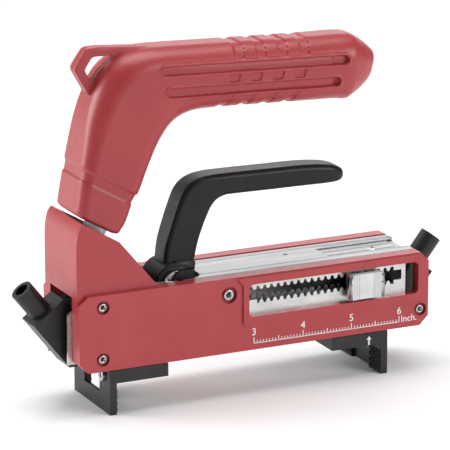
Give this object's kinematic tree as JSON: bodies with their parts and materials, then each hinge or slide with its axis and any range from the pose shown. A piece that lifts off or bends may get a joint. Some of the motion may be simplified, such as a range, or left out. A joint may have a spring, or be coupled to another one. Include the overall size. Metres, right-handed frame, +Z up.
{
  "type": "deck board fastening guide clamp",
  "caption": "Hand-held clamp that grips a deck board between two jaws and guides a slanted screw into each of its edges.",
  "frame": {"origin": "centre of the footprint, half-way between the jaws, at the bottom of the feet", "axes": "+X along the rule from the lever's pivot to the adjustable jaw, +Y to the rear side, +Z up"},
  "size_m": [0.2194, 0.0488, 0.1677],
  "materials": {
    "red_frame": "satin powder coat",
    "red_cover": "satin powder coat",
    "red_plastic": "satin moulded",
    "black_plastic": "satin moulded",
    "black_guide": "satin",
    "black_steel": "black oxide",
    "bright_sheet": "bright brushed",
    "zinc_sheet": "zinc plated",
    "plain_steel": "plain",
    "spring_steel": "plain",
    "zinc_screw": "zinc plated",
    "chrome_button": "polished"
  },
  "bodies": {
    "root": {"frame": "red_frame", "front_cover": "red_cover", "rear_cover": "red_cover", "cover_screws": "zinc_screw", "rack_screws": "zinc_screw", "front_rack": "zinc_sheet", "rear_rack": "zinc_sheet", "top_cover": "bright_sheet", "pivot_pin": "plain_steel", "tang": "plain_steel", "handle_front": "red_plastic", "handle_rear": "red_plastic", "handle_screws": "zinc_screw", "spring_post": "plain_steel"},
    "left_jaw_body": {"left_guide": "black_guide", "left_plates": "zinc_sheet", "plate_screws": "zinc_screw", "drive_pins": "plain_steel", "jaw_spring": "spring_steel", "left_jaw": "black_steel", "left_rest": "black_steel", "left_pads": "black_steel", "left_jaw_screws": "zinc_screw"},
    "lever_body": {"lever": "black_plastic", "lever_arms": "zinc_sheet", "arm_pins": "plain_steel"},
    "right_jaw_body": {"right_carriage": "black_guide", "carriage_pins": "plain_steel", "right_guide": "black_guide", "slide_top": "bright_sheet", "slide_screws": "zinc_screw", "right_jaw": "black_steel", "right_rest": "black_steel", "right_pads": "black_steel", "right_jaw_screws": "zinc_screw"},
    "front_button_body": {"front_button": "chrome_button", "front_lock": "zinc_sheet"},
    "rear_button_body": {"rear_button": "chrome_button", "rear_lock": "zinc_sheet"}
  },
  "joints": [
    {"name": "lever_pivot", "type": "hinge", "parent": "root", "child": "lever_body", "pos_m": [-0.0325, 0, 0.053], "axis": [0, -1, 0], "range_deg": [0, 18], "stiffness_Nm_per_rad": 0.6, "springref_deg": -8.59},
    {"name": "left_jaw_slide", "type": "slide", "parent": "root", "child": "left_jaw_body", "axis": [1, 0, 0], "range_m": [0, 0.0062], "deforming": ["jaw_spring"]},
    {"name": "right_jaw_slide", "type": "slide", "parent": "root", "child": "right_jaw_body", "axis": [1, 0, 0], "range_m": [-0.0475, 0.016]},
    {"name": "front_button_press", "type": "slide", "parent": "right_jaw_body", "child": "front_button_body", "axis": [0, 1, 0], "range_m": [0, 0.0022], "stiffness_N_per_m": 800, "springref_m": -0.001},
    {"name": "rear_button_press", "type": "slide", "parent": "right_jaw_body", "child": "rear_button_body", "axis": [0, -1, 0], "range_m": [0, 0.0022], "stiffness_N_per_m": 800, "springref_m": -0.001}
  ],
  "couplings": [
    {"joint": "left_jaw_slide", "follows": "lever_pivot", "m_per_rad": 0.0195}
  ]
}
